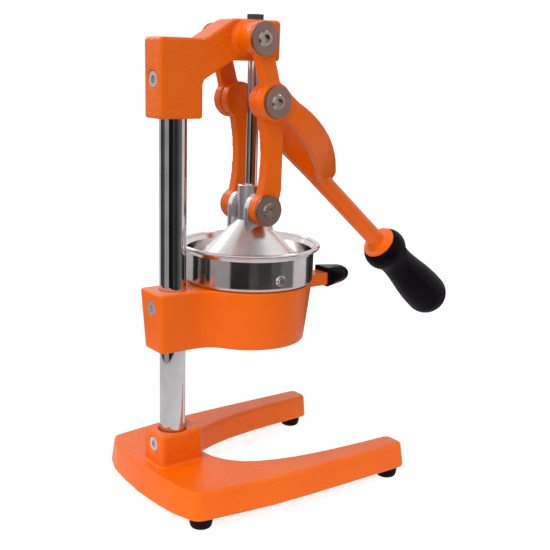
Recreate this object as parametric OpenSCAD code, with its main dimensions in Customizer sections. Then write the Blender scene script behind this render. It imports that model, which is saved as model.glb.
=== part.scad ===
// Lever citrus juice press: a U-shaped foot casting, a steel post, a ring that carries the juice cup,
// and a head whose forked lever drives a cone straight down a guide rod.
// The origin is on the pressing axis, at table level. X points to the hand grip, Z points up.

/* [Base] */
// Height of the rubber feet
foot_h = 10.3; // [6:0.1:16]
// Radius of a rubber foot at its top
foot_r = 10; // [7:0.5:11]
// Height of the foot casting
base_h = 23.3; // [16:0.1:34]
// Wall of the hollow foot casting
base_wall = 5; // [3:0.5:7]
// Distance from the pressing axis back to the rear corners
base_back = 98.5; // [96:0.5:120]
// Bulge of the rear edge behind its corners
base_bulge = 13; // [4:0.5:20]
// Distance from the pressing axis to the front ends of the arms
base_front = 124.5; // [90:0.5:150]
// Half width across the rear corners
base_rear_half = 75.5; // [70:0.5:90]
// Half width across the front ends
base_front_half = 86; // [82:0.5:100]
// Width of an arm where the gap between the arms begins
arm_rear_w = 36; // [30:0.5:40]
// Width of an arm at its front end
arm_front_w = 26.5; // [24:0.5:34]
// Distance from the pressing axis back to the rear of the gap
gap_back = 45; // [38:0.5:50]
// Draft of the foot casting's outer sides from bottom to top
base_draft = 3; // [1:0.1:4]
// Rounding of the upper edges of the foot casting
base_edge = 3; // [1:0.1:4]

/* [Post] */
// Diameter of the post
post_d = 22; // [16:0.5:26]
// Distance from the pressing axis back to the post
post_back = 76.6; // [72:0.1:80]
// Diameter of the turned-down top of the post
post_neck_d = 16; // [12:0.5:18]
// Height of the socket block above the foot casting
socket_h = 29; // [18:0.5:40]
// Distance from the post's axis to the back of the socket block
socket_rear = 20.3; // [18:0.1:24]
// Distance from the post's axis to the front of the socket block
socket_front = 22.8; // [18:0.1:26]
// Width of the socket block
socket_w = 32.8; // [30:0.2:40]

/* [Cup holder] */
// Height of the holder's underside above the table
glass_h = 134.7; // [120:0.1:170]
// Height of the holder
holder_h = 50.6; // [40:0.2:60]
// Outer radius of the ring at its top
ring_r = 55.2; // [52:0.1:58]
// Draft of the ring from top to bottom
ring_draft = 5.7; // [3:0.1:6]
// Wall of the ring
ring_wall = 4.5; // [3.5:0.1:5]
// Distance from the pressing axis to the back of the holder
holder_back = 98.3; // [94:0.1:104]
// Half width of the holder's rear block
holder_half = 17.5; // [16:0.1:20]
// Draft of the rear block from top to bottom
holder_draft = 2.9; // [1:0.1:3]
// Radius of the waist between block and ring
waist_r = 25; // [15:0.5:32]
// Half width of the front bar
bar_half = 8.8; // [6:0.1:11]
// Height of the front bar
bar_h = 11.6; // [8:0.1:14]
// Distance from the pressing axis to the rear of the bar's cap
cap_start = 83; // [76:0.5:90]
// Length of the bar's cap
cap_len = 30.4; // [24:0.2:40]
// Half width of the cap
cap_half = 10; // [9.9:0.1:14]
// Height of the cap
cap_h = 17.6; // [15:0.1:24]

/* [Juice cup] */
// Outer radius of the cup's wall
cup_r = 55.7; // [54:0.1:58]
// Outer radius of the rolled rim
rim_r = 60.9; // [59:0.1:64]
// Height of the cup above the ring
cup_h = 32.9; // [26:0.1:44]
// Sheet thickness of the cup
sheet = 1.2; // [0.8:0.1:1.6]
// Radius of the tube that the rim is rolled to
bead_r = 1.9; // [1.5:0.1:2.4]
// Radius of the bend under the cup's wall
bend_r = 3.6; // [3:0.1:4]
// Depth of the funnel inside the ring
nest_depth = 33; // [24:0.5:36]
// Outer radius of the outlet spout
spout_r = 9; // [7:0.5:12]
// Length of the outlet spout
spout_len = 16; // [8:0.5:18]

/* [Strainer] */
// Radius of the strainer's dome at its foot
dome_r = 43; // [38:0.5:44]
// Upright height of the dome's foot
dome_foot_h = 5.1; // [4:0.1:10]
// Sheet thickness of the strainer
strainer_t = 1.2; // [0.8:0.1:1.6]
// Radius of a strainer hole
hole_r = 1.8; // [1:0.1:2.2]
// Holes in each row of the strainer
holes_per_row = 16; // [8:1:18]

/* [Press] */
// Half angle of the pressing cone
cone_angle = 45; // [40:1:48]
// Gap between strainer and pressing cone when the lever is down
press_gap = 4.3; // [3:0.1:6]
// Wall of the pressing cone
press_wall = 4.5; // [3.5:0.1:5.5]
// Outer radius of the skirt under the cone
skirt_r = 50; // [48:0.1:51.5]
// Height of the skirt
skirt_h = 5; // [3:0.1:7]
// Half width of the hub across its two cheeks
hub_half = 15.3; // [14.5:0.1:17]
// Half length of a cheek
cheek_half = 13.5; // [12:0.1:15]
// Thickness of a cheek
cheek_t = 6; // [5:0.1:8]
// Radius of the collar around the guide rod
collar_r = 11.2; // [9:0.1:12]
// Height of the link pivot above the neck of the cone
pivot_rise = 14.3; // [14.3:0.1:20]
// Height of the collar above the link pivot
collar_rise = 19.3; // [15:0.1:24]
// Diameter of the guide rod
rod_d = 10; // [8:0.5:12]

/* [Head] */
// Distance from the pressing axis back to the lever pivot
pivot_back = 16.2; // [15.5:0.1:20]
// Distance from the head's top down to the lever pivot
pivot_drop = 15; // [14:0.1:17]
// Half thickness of the head
head_half = 12.6; // [11.5:0.1:14]
// Distance from the pressing axis to the back of the head
head_back = 95.3; // [92:0.1:100]
// Distance from the pressing axis to the front of the head
head_front = 17.1; // [14:0.1:20]
// Height of the head's arm over the guide rod
arm_h = 31.9; // [28:0.1:36]
// Height of the head's rear block
block_h = 61; // [54:0.5:66]
// Distance from the pressing axis back to the front of the rear block
block_front = 56.8; // [54:0.1:60]
// Rise from the rear block's top to the arm's top
arm_rise = 15.8; // [10:0.1:20]
// Radius of the bosses at the lever pivot
pivot_boss_r = 12.2; // [9:0.1:12.4]

/* [Lever] */
// Distance from the lever pivot to the knee pivot
crank_len = 50.4; // [48:0.1:54]
// Forward lean of the crank when the lever is down
crank_lean = 17.2; // [14:0.1:19]
// Fall of the handle below level when the lever is down
handle_fall = 40; // [36:0.5:42]
// Thickness of a fork tine
tine_t = 9.8; // [8:0.1:11]
// Half width of the upright part of a tine
upright_half = 7.8; // [6.5:0.1:9]
// Radius of a tine's eye at the lever pivot
head_eye_r = 13; // [12.5:0.1:14]
// Radius of a tine's boss at the knee pivot
knee_boss_r = 15.2; // [14:0.1:16]
// Half height of the fork's arched bands
band_half = 8.4; // [7:0.1:10]
// Radius of the bands' arch, seen from the side
arch_r = 365; // [300:1:500]
// Radius of the bands' curve, seen from above
sweep_r = 180; // [170:1:190]
// Radius of the handle rod
handle_r = 8.2; // [7:0.1:9]
// Distance from the knee pivot along the handle to the grip
grip_start = 205; // [190:1:230]
// Radius of the flange in front of the grip
flange_r = 16.2; // [14:0.1:17]
// Length of the grip
grip_len = 110; // [95:1:125]
// Greatest radius of the grip
grip_r = 20.6; // [18:0.1:23]

/* [Links] */
// Distance between a link's two pivots
link_len = 88.5; // [84:0.1:96]
// Thickness of a link
link_t = 9.1; // [7:0.1:10]
// Half width of a link between its eyes
link_half = 9.6; // [8:0.1:10.5]
// Forward bow of a link
link_bow = 7.2; // [4:0.1:8]
// Radius of a link's eye at the knee pivot
link_top_r = 14.6; // [13:0.1:14.8]
// Radius of a link's eye at the press
link_foot_r = 13.7; // [12.5:0.1:13.8]

/* [Fasteners] */
// Radius of a pivot screw's shoulder
shoulder_r = 5; // [4:0.1:6]
// Radius of a pivot screw's thread
thread_r = 4; // [3:0.1:4]
// Radius of a pivot screw's head
screw_head_r = 6.5; // [6:0.1:8]
// Height of a pivot screw's head
screw_head_h = 1.2; // [0.8:0.1:3]
// Radius of a pivot washer
washer_r = 12.9; // [11:0.1:13]
// Thickness of a pivot washer
washer_t = 2.4; // [1.5:0.1:3]
// Radius of a set screw
set_screw_r = 6.2; // [4:0.1:6.5]
// Width of the stop nut across its flats
nut_w = 13; // [12:0.5:15]
// Height of the stop nut
nut_h = 4; // [3:0.1:8]

/* [Fits] */
// Radial running clearance of a pin or rod in its hole
running = 0.05; // [0.02:0.01:0.09]
// Side gap between pieces that swing past each other
side_gap = 0.4; // [0.3:0.05:0.5]
// Gap between pieces that meet without a fit
loose = 0.3; // [0.2:0.05:0.4]

/* [Hidden] */
$fn = 96;
// Overrun of every cut past the face that it opens
over = 1;
// Steps round an outline's corner, and round the edge of a casting
corner_steps = 7;
edge_steps = 3;

// Heights, from the table upwards
base_z = foot_h;
base_top = base_z + base_h;
socket_top = base_top + socket_h;
holder_z = glass_h;
holder_top = holder_z + holder_h;
// The cup's ledge, the funnel's flange and the strainer's flange lie on each other
dome_z = holder_top + 2 * sheet + strainer_t;
cone_shrink = tan(cone_angle);
gap_v = press_gap / sin(cone_angle);
wall_v = press_wall / sin(cone_angle);
// Heights at which the three cones would reach the axis
dome_apex = dome_z + dome_foot_h + dome_r / cone_shrink;
press_in_apex = dome_apex + gap_v;
press_out_apex = press_in_apex + wall_v;
skirt_top = press_out_apex - skirt_r / cone_shrink;
skirt_z = skirt_top - skirt_h;
neck_z = press_out_apex - hub_half / cone_shrink;
// Pivots in the plane of symmetry, as [x, z]
press_pivot = [0, neck_z + pivot_rise];
knee_x = crank_len * sin(crank_lean) - pivot_back;
knee = [knee_x, press_pivot[1] + sqrt(link_len * link_len - knee_x * knee_x)];
head_pivot = [-pivot_back, knee[1] + crank_len * cos(crank_lean)];
head_top = head_pivot[1] + pivot_drop;
collar_top = press_pivot[1] + collar_rise;
block_top = head_top - arm_rise;
block_z = block_top - block_h;

// Layers across the press, from the middle outwards
link_in = hub_half + side_gap;
link_out = link_in + link_t;
tine_in = link_out + side_gap;
tine_out = tine_in + tine_t;
// Distance that the tines' faces lie below the faces of their bosses
boss_proud = 0.8;

// Sizes of small features
post_socket_floor = 6;
post_mouth = 1.4;
post_mouth_r = post_d / 2 + post_mouth;
post_mouth_depth = 2;
socket_corner = 5;
socket_draft = 1;
socket_edge = 1.5;
low_edge = 1;
ring_edge = 1.5;
post_neck_len = 44;
set_screw_sink = 0.6;
set_mouth_w = 0.8;
set_mouth_r = set_screw_r + set_mouth_w;
set_mouth_depth = 1.6;
hex_key = 6;
hex_depth = 3;
foot_inset_x = 11;
foot_inset_y = 11;
foot_front_inset_x = 14;
foot_front_inset_y = 12.5;
foot_screw_r = 2;
foot_head_r = 4;
foot_head_h = 2.4;
foot_recess_r = 4.4;
foot_recess_h = 4;
foot_pillar_r = 7;
foot_screw_grip = 9;
bush_r = 7.5;
grip_tang_r = 6;
grip_tang_len = 78;
rod_root = 26;
stud_proud = 0.3;
thread_grip = 5;
thread_room = 1;
rod_keep = 2;
boss_flare = 2.6;
washer_edge = 0.4;
web_step = 1.5;
link_web = 1.6;
arm_run = 29;
block_lean = 2.3;
cavity_top_r = 10;
locating_dimples = 3;
dimple_r = 5;
dimple_proud = 1.6;
dimple_rise = 10;
dimple_turn = -97;
dimple_mid_share = 0.72;
dimple_top_share = 0.45;
dimple_step_share = 0.6;

function unit(v) = v / norm(v);
function left_of(v) = [-v[1], v[0]];
function wrap(list, i) = list[(i + len(list)) % len(list)];
// An outline's corners after each edge has moved inwards by its own distance. Edge i starts at corner i.
function inset(pts, moves) = [for (i = [0 : len(pts) - 1])
    let (a = left_of(unit(pts[i] - wrap(pts, i - 1))), b = left_of(unit(wrap(pts, i + 1) - pts[i])),
        da = wrap(moves, i - 1), db = moves[i], c = a * b)
    da == db ? pts[i] + (a + b) * da / (1 + c)
        : pts[i] + ((da - db * c) * a + (db - da * c) * b) / (1 - c * c)];
// Corner radii after the same move: outer corners get tighter and inner corners wider
function inset_radii(pts, radii, moves) = [for (i = [0 : len(pts) - 1])
    let (bend = cross(pts[i] - wrap(pts, i - 1), wrap(pts, i + 1) - pts[i]))
    radii[i] == 0 ? 0 : max(radii[i] - sign(bend) * (wrap(moves, i - 1) + moves[i]) / 2, radii[i] / 4)];
function same(pts, value) = [for (p = pts) value];
// The points that round the corner q between p and s
function corner(p, q, s, r) = r == 0 ? [q] :
    let (u = unit(p - q), v = unit(s - q), half = acos(u * v) / 2,
        c = q + unit(u + v) * r / sin(half), d = q + u * r / tan(half) - c,
        a = atan2(d[1], d[0]), turn = (180 - 2 * half) * sign(cross(q - p, s - q)))
    [for (k = [0 : corner_steps])
        c + r * [cos(a + turn * k / corner_steps), sin(a + turn * k / corner_steps)]];
function rounded(pts, radii) = [for (i = [0 : len(pts) - 1])
    each corner(wrap(pts, i - 1), pts[i], wrap(pts, i + 1), radii[i])];
// Levels [height, inset, draft] of a casting with rounded edges at both ends and draft towards its top
function casting_levels(z0, z1, draft, low_r, high_r) = concat(
    [for (k = [0 : edge_steps]) let (a = 90 * k / edge_steps)
        [z0 + low_r * (1 - cos(a)), low_r * (1 - sin(a)), 0]],
    [for (k = [0 : edge_steps]) let (a = 90 * k / edge_steps)
        [z1 - high_r * (1 - sin(a)), high_r * (1 - cos(a)), draft]]);

// Triangles that fill an outline: ears are cut off its corners one by one
function on_left(a, b, c) = cross(b - a, c - a) > 0;
function is_ear(pts, left, i) =
    let (a = wrap(left, i - 1), b = left[i], c = wrap(left, i + 1))
    on_left(pts[a], pts[b], pts[c]) && len([for (j = left) if (j != a && j != b && j != c
        && on_left(pts[a], pts[b], pts[j]) && on_left(pts[b], pts[c], pts[j])
        && on_left(pts[c], pts[a], pts[j])) j]) == 0;
function next_ear(pts, left, i) = i >= len(left) - 1 || is_ear(pts, left, i) ? i
    : next_ear(pts, left, i + 1);
function ears(pts, left, done = [], from = 0) = len(left) == 3 ? concat(done, [left]) :
    let (i = next_ear(pts, left, from >= len(left) - 1 ? 0 : from))
    ears(pts, [for (k = [0 : len(left) - 1]) if (k != i) left[k]],
        concat(done, [[wrap(left, i - 1), left[i], wrap(left, i + 1)]]), max(i - 1, 0));

// A closed skin over rings of points, one ring above the other
module skin(rings) {
    n = len(rings[0]);
    last = len(rings) - 1;
    cap = ears([for (p = rings[0]) [p[0], p[1]]], [for (i = [0 : n - 1]) i]);
    polyhedron(
        points = [for (ring = rings) each ring],
        faces = concat(
            cap,
            [for (k = [0 : last - 1]) for (i = [0 : n - 1]) let (j = (i + 1) % n)
                each [[k * n + i, (k + 1) * n + i, (k + 1) * n + j], [k * n + i, (k + 1) * n + j, k * n + j]]],
            [for (t = cap) [last * n + t[2], last * n + t[1], last * n + t[0]]]),
        convexity = 8);
}

// A casting from an outline, its corner radii, its levels and each edge's share of the draft
module casting(pts, radii, levels, draft_shares) {
    skin([for (l = levels) let (moves = [for (s = draft_shares) l[1] + l[2] * s])
        [for (p = rounded(inset(pts, moves), inset_radii(pts, radii, moves))) [p[0], p[1], l[0]]]]);
}

// A cylinder along Y, from y0 to y1, at [x, z]
module crosswise(p, r, y0, y1) {
    translate([p[0], y1, p[1]]) rotate([90, 0, 0]) cylinder(r = r, h = y1 - y0);
}

// A six-sided socket along Y, cut inwards from y
module key_socket(p, y, depth) {
    translate([p[0], y + over, p[1]]) rotate([90, 0, 0])
        cylinder(d = hex_key / cos(30), h = depth + over, $fn = 6);
}

// Mirrors a piece of the left side to the right side
module to_side(side) {
    mirror([0, side == "left" ? 0 : 1, 0]) children();
}

// Rear edge of the foot casting, as points of a shallow curve
rear_points = [for (k = [-2 : 2]) let (y = -base_rear_half * k / 3)
    [-base_back - base_bulge * (1 - pow(k / 3, 2)), y]];
base_points = concat(
    [[-base_back, -base_rear_half], [base_front, -base_front_half], [base_front, arm_front_w - base_front_half],
        [-gap_back, arm_rear_w - base_rear_half], [-gap_back, base_rear_half - arm_rear_w],
        [base_front, base_front_half - arm_front_w], [base_front, base_front_half], [-base_back, base_rear_half]],
    rear_points);
base_corner = 12;
arm_corner = 8;
gap_corner = 24;
rear_corner = 60;
base_radii = concat(
    [base_corner, arm_corner, arm_corner, gap_corner, gap_corner, arm_corner, arm_corner, base_corner],
    same(rear_points, rear_corner));
// The sides of the gap between the arms stand upright
base_draft_shares = concat([1, 1, 0, 0, 0, 1, 1, 1], same(rear_points, 1));
hollow_moves = same(base_points, base_wall);
socket_points = [[-post_back - socket_rear, -socket_w / 2], [-post_back + socket_front, -socket_w / 2],
    [-post_back + socket_front, socket_w / 2], [-post_back - socket_rear, socket_w / 2]];
foot_places = [for (sy = [-1, 1]) each [
    [-base_back + foot_inset_x, sy * (base_rear_half - foot_inset_y)],
    [base_front - foot_front_inset_x, sy * (base_front_half - foot_front_inset_y)]]];

module base_casting() {
    color("darkorange") difference() {
        union() {
            difference() {
                casting(base_points, base_radii,
                    casting_levels(base_z, base_top, base_draft, low_edge, base_edge), base_draft_shares);
                translate([0, 0, base_z - over])
                    linear_extrude(base_h - base_wall + over)
                        polygon(rounded(inset(base_points, hollow_moves),
                            inset_radii(base_points, base_radii, hollow_moves)));
            }
            for (p = foot_places)
                translate([p[0], p[1], base_z]) cylinder(r = foot_pillar_r, h = base_h - base_wall / 2);
            casting(socket_points, same(socket_points, socket_corner),
                casting_levels(base_z + base_wall / 2, socket_top, socket_draft, low_edge, socket_edge),
                same(socket_points, 1));
        }
        translate([-post_back, 0, base_z + post_socket_floor])
            cylinder(d = post_d + 2 * running, h = socket_top);
        translate([-post_back, 0, socket_top - post_mouth_depth])
            cylinder(r = post_mouth_r, h = post_mouth_depth + over);
        set_screw_hole(socket_set_z, post_back + socket_rear - socket_draft);
        for (p = foot_places)
            translate([p[0], p[1], base_z - over])
                cylinder(r = foot_screw_r + running, h = foot_screw_grip + 2 * over, $fn = 24);
    }
}

// Foot profile: [share of the radius, share of the height]
foot_shares = [[0, 0], [0.68, 0], [0.82, 0.08], [0.9, 0.2], [0.95, 0.4], [1, 0.8], [1, 1], [0, 1]];

module rubber_feet() {
    color("black") for (p = foot_places)
        translate([p[0], p[1], 0]) difference() {
            rotate_extrude($fn = 64) polygon([for (s = foot_shares) [s[0] * foot_r, s[1] * foot_h]]);
            translate([0, 0, -over]) cylinder(r = foot_recess_r, h = foot_recess_h + over, $fn = 32);
            cylinder(r = foot_screw_r + running, h = foot_h + over, $fn = 24);
        }
}

module foot_screws() {
    color("silver") for (p = foot_places)
        translate([p[0], p[1], foot_recess_h - foot_head_h]) difference() {
            union() {
                cylinder(r = foot_head_r, h = foot_head_h, $fn = 32);
                cylinder(r = foot_screw_r, h = foot_head_h + foot_h - foot_recess_h + foot_screw_grip, $fn = 24);
            }
            translate([0, 0, -over])
                cylinder(r = foot_screw_r * 0.8, h = foot_head_h * 0.6 + over, $fn = 6);
        }
}

module support_post() {
    color("silver") translate([-post_back, 0, 0]) {
        translate([0, 0, base_z + post_socket_floor])
            cylinder(d = post_d, h = block_z - base_z - post_socket_floor);
        translate([0, 0, block_z - over]) cylinder(d = post_neck_d, h = post_neck_len + over);
    }
}

// Heights of the three set screws
socket_set_share = 0.61;
holder_set_share = 0.72;
head_set_share = 0.485;
socket_set_z = base_top + socket_h * socket_set_share;
holder_set_z = holder_z + holder_h * holder_set_share;
head_set_z = block_z + block_h * head_set_share;
holder_face = holder_back - holder_draft * (1 - holder_set_share);

// A hole from the back face, at distance back behind the pressing axis, to the post
module set_screw_hole(z, back) {
    translate([-back - over, 0, z]) rotate([0, 90, 0]) {
        cylinder(r = set_screw_r + running, h = back + over - post_back);
        cylinder(r1 = set_mouth_r + over / 2, r2 = set_screw_r + running, h = set_mouth_depth + over);
    }
}

module set_screw(z, back, post_r) {
    color("lightgray") translate([-back + set_screw_sink, 0, z]) rotate([0, 90, 0]) difference() {
        cylinder(r = set_screw_r, h = back - set_screw_sink - post_back - post_r - running);
        translate([0, 0, -over]) cylinder(d = hex_key / cos(30), h = hex_depth + over, $fn = 6);
    }
}

module base_set_screw() {
    set_screw(socket_set_z, post_back + socket_rear - socket_draft, post_d / 2);
}

module holder_set_screw() {
    set_screw(holder_set_z, holder_face, post_d / 2);
}

module head_set_screw() {
    set_screw(head_set_z, head_back, post_neck_d / 2);
}

// Outline of the holder: rear block, waist and ring. d is the share of the draft, e an inset.
block_corner = 3;
ring_steps = 48;
waist_steps = 8;
function holder_outline(d, e) =
    let (r = ring_r - ring_draft * d - e, w = holder_half - holder_draft * d - e,
        back = holder_back - holder_draft * d - e, q = waist_r + e,
        cx = -sqrt(pow(r + q, 2) - pow(w + q, 2)), lean = atan2(w + q, -cx),
        half = [for (k = [0 : ring_steps]) let (a = (180 - lean) * k / ring_steps) r * [cos(a), sin(a)]],
        waist = [for (k = [0 : waist_steps]) let (a = -lean - (90 - lean) * k / waist_steps)
            [cx, w + q] + q * [cos(a), sin(a)]],
        rear = corner([cx, w], [-back, w], [-back, 0], block_corner),
        upper = concat(half, [for (k = [1 : waist_steps]) waist[k]], rear))
    concat(upper, [for (k = [len(upper) - 1 : -1 : 1]) [upper[k][0], -upper[k][1]]]);

bar_drop = 2.3;
bar_top = holder_top - bar_drop;
bar_z = bar_top - bar_h;
bar_share = 0.5;
bar_end = cap_start + cap_len * bar_share;

module cup_holder() {
    color("darkorange") difference() {
        union() {
            skin([for (l = casting_levels(holder_z, holder_top, 0, low_edge, ring_edge))
                [for (p = holder_outline((holder_top - l[0]) / holder_h, l[1])) [p[0], p[1], l[0]]]]);
            translate([ring_r - ring_wall, -bar_half, bar_z])
                cube([bar_end - ring_r + ring_wall, 2 * bar_half, bar_h]);
        }
        translate([0, 0, holder_z - over])
            cylinder(r1 = ring_r - ring_draft - ring_wall, r2 = ring_r - ring_wall, h = holder_h + over);
        translate([0, 0, holder_top - over]) cylinder(r = ring_r - ring_wall, h = 2 * over);
        translate([-post_back, 0, holder_z - over])
            cylinder(d = post_d + 2 * running, h = holder_h + 2 * over);
        set_screw_hole(holder_set_z, holder_face);
    }
}

cap_proud = 4.6;
cap_edge = 1.2;
nose_share = 0.49;
cap_nose = cap_len * nose_share;

// A cap with a flat back and a round nose
module grip_cap() {
    z = bar_top + cap_proud - cap_h;
    color("dimgray") difference() {
        hull() {
            translate([cap_start, -cap_half, z + cap_edge]) cube([over, 2 * cap_half, cap_h - 2 * cap_edge]);
            translate([cap_start, cap_edge - cap_half, z]) cube([over, 2 * (cap_half - cap_edge), cap_h]);
            translate([cap_start + cap_len - cap_nose, 0, z + cap_h / 2])
                scale([cap_nose / cap_half, 1, cap_h / cap_half / 2]) sphere(r = cap_half, $fn = 40);
        }
        translate([cap_start - over, -bar_half - running, bar_z - running])
            cube([bar_end - cap_start + over + running, 2 * (bar_half + running), bar_h + 2 * running]);
    }
}

// The cup stands on the ring, and its ledge reaches past the ring's bore
ledge_lap = 1.5;
ledge_r = ring_r - ring_wall - ledge_lap;
bend_x = cup_r - bend_r;
rim_z = holder_top + cup_h - bead_r;
lip_r = rim_r - 1.5 * bead_r;
flare_h = 5;
bend_steps = 6;

module juice_cup() {
    arc = [for (k = [0 : bend_steps]) let (a = -90 + 90 * k / bend_steps) [cos(a), sin(a)]];
    outer = concat([[ledge_r, holder_top]],
        [for (p = arc) [bend_x, holder_top + bend_r] + bend_r * p],
        [[cup_r, rim_z - flare_h], [lip_r, rim_z]]);
    inner = concat([[lip_r, rim_z + sheet], [cup_r - sheet, rim_z - flare_h + sheet]],
        [for (k = [bend_steps : -1 : 0]) [bend_x, holder_top + bend_r] + (bend_r - sheet) * arc[k]],
        [[ledge_r, holder_top + sheet]]);
    color("gainsboro") {
        rotate_extrude() {
            polygon(concat(outer, inner));
            translate([rim_r - bead_r, rim_z]) circle(r = bead_r, $fn = 24);
        }
        for (k = [0 : locating_dimples - 1])
            rotate([0, 0, dimple_turn + 360 * k / locating_dimples])
                translate([cup_r - sheet / 2, 0, holder_top + dimple_rise]) rotate([0, 90, 0]) {
                    cylinder(r1 = dimple_r, r2 = dimple_r * dimple_mid_share,
                        h = sheet / 2 + dimple_proud * dimple_step_share, $fn = 32);
                    cylinder(r1 = dimple_r * dimple_mid_share, r2 = dimple_r * dimple_top_share,
                        h = sheet / 2 + dimple_proud, $fn = 32);
                }
    }
}

// The funnel's flange lies on the cup's ledge, and its wall follows the ring's bore
nest_r = ledge_r - loose;
nest_foot_r = nest_r - ring_draft * nest_depth / holder_h;
nest_z = holder_top - nest_depth;
funnel_fall = 8;
funnel_z = nest_z - funnel_fall;
flange_inset = 1;
flange_end = bend_x - flange_inset;
spout_land = 3;
land_r = spout_r + spout_land;

module juice_funnel() {
    color("silver") rotate_extrude() polygon([
        [flange_end, holder_top + sheet], [nest_r, holder_top + sheet], [nest_foot_r, nest_z], [land_r, funnel_z],
        [spout_r + loose, funnel_z], [spout_r + loose, funnel_z + sheet], [land_r, funnel_z + sheet],
        [nest_foot_r - sheet, nest_z + sheet], [nest_r - sheet, holder_top + 2 * sheet],
        [flange_end, holder_top + 2 * sheet]]);
}

// A tube through the funnel's floor, with a collar that bears on the floor from below
module outlet_spout() {
    spout_z = funnel_z - spout_len;
    color("silver") rotate_extrude() polygon([
        [spout_r - sheet, spout_z], [spout_r, spout_z], [spout_r, funnel_z - sheet], [land_r, funnel_z - sheet],
        [land_r, funnel_z], [spout_r, funnel_z], [spout_r, funnel_z + sheet], [spout_r - sheet, funnel_z + sheet]]);
}

dome_top_r = 11;
dome_top_z = dome_apex - dome_top_r / cone_shrink;
hole_rows = 3;
tip_shoulder_share = 0.6;
tip_shoulder_h = 2;
tip_h = 2.6;
first_row_share = 0.24;
row_share = 0.27;

module strainer_dome() {
    foot = dome_z + dome_foot_h;
    color("whitesmoke") difference() {
        rotate_extrude() polygon([
            [dome_r, dome_z], [dome_r, foot], [dome_top_r, dome_top_z],
            [dome_top_r * tip_shoulder_share, dome_top_z + tip_shoulder_h], [0, dome_top_z + tip_h],
            [0, dome_top_z + tip_h - strainer_t],
            [dome_top_r * tip_shoulder_share, dome_top_z + tip_shoulder_h - strainer_t * 1.2],
            [dome_r - strainer_t, foot - strainer_t * 0.6], [dome_r - strainer_t, dome_z - strainer_t],
            [flange_end, dome_z - strainer_t], [flange_end, dome_z]]);
        for (row = [0 : hole_rows - 1]) {
            share = first_row_share + row_share * row;
            r = dome_r + (dome_top_r - dome_r) * share;
            z = foot + (dome_top_z - foot) * share;
            for (k = [0 : holes_per_row - 1])
                rotate([0, 0, 360 * (k + row / 2) / holes_per_row]) translate([r, 0, z])
                    rotate([0, 90 - cone_angle, 0]) translate([0, 0, -3 * strainer_t])
                        cylinder(r = hole_r, h = 6 * strainer_t, $fn = 16);
        }
    }
}

head_points = [[-head_back, block_z], [-block_front, block_z], [-block_front, head_top - arm_h - arm_rise],
    [-block_front + arm_run, head_top - arm_h], [head_front, head_top - arm_h], [head_front, head_top],
    [-block_front + arm_run, head_top], [-block_front + block_lean, block_top], [-head_back, block_top]];
head_radii = [2, 2, 6, 8, 3, 3, 14, 10, 3];
head_edge = 1.6;

module head_casting() {
    color("darkorange") difference() {
        union() {
            rotate([90, 0, 0]) casting(head_points, head_radii,
                casting_levels(-head_half, head_half, 0, head_edge, head_edge), same(head_points, 0));
            crosswise(head_pivot, pivot_boss_r, -tine_in + side_gap, tine_in - side_gap);
            for (side = ["left", "right"]) to_side(side)
                translate([head_pivot[0], head_half - running, head_pivot[1]]) rotate([-90, 0, 0])
                    cylinder(r1 = pivot_boss_r + boss_flare, r2 = pivot_boss_r, h = link_in - head_half - side_gap);
        }
        translate([-post_back, 0, block_z - over])
            cylinder(d = post_neck_d + 2 * running, h = post_neck_len + 2 * over);
        translate([0, 0, head_top - arm_h - over]) cylinder(r = bush_r + running, h = arm_h + 2 * over);
        for (side = ["left", "right"]) to_side(side)
            crosswise(head_pivot, thread_r + running, head_half - thread_grip - thread_room, tine_in + over);
        set_screw_hole(head_set_z, head_back);
    }
}

module guide_bush() {
    color("goldenrod") translate([0, 0, head_top - arm_h]) difference() {
        cylinder(r = bush_r, h = arm_h - loose);
        translate([0, 0, -over]) cylinder(r = rod_d / 2 + running, h = arm_h + 2 * over);
    }
}

head_top_share = 0.84;

// A pivot screw for the left side: thread from y0 to y1, shoulder from y1 to y2, head beyond y2
module pivot_screw(p, y0, y1, y2) {
    difference() {
        union() {
            crosswise(p, thread_r, y0, y1 + over / 2);
            crosswise(p, shoulder_r, y1, y2 + over / 2);
            translate([p[0], y2, p[1]]) rotate([-90, 0, 0])
                cylinder(r1 = screw_head_r, r2 = screw_head_r * head_top_share, h = screw_head_h);
        }
        key_socket(p, y2 + screw_head_h, screw_head_h + hex_depth / 2);
    }
}

module pivot_washer(p, y) {
    difference() {
        union() {
            crosswise(p, washer_r - washer_edge, y, y + washer_t);
            crosswise(p, washer_r, y, y + washer_t - washer_edge);
        }
        crosswise(p, shoulder_r + running, y - over, y + washer_t + over);
    }
}

// The head's pivot screws carry the fork, which turns on their shoulders
module head_screw(side) {
    color("gray") to_side(side)
        pivot_screw(head_pivot, head_half - thread_grip, tine_in - side_gap, tine_out + loose + washer_t);
}

module head_washer(side) {
    color("dimgray") to_side(side) pivot_washer(head_pivot, tine_out + loose);
}

module left_head_screw() {
    head_screw("left");
}

module right_head_screw() {
    head_screw("right");
}

module left_head_washer() {
    head_washer("left");
}

module right_head_washer() {
    head_washer("right");
}

// The web between the two cheeks stands back from their edges
web_half = cheek_half - web_step;

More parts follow.
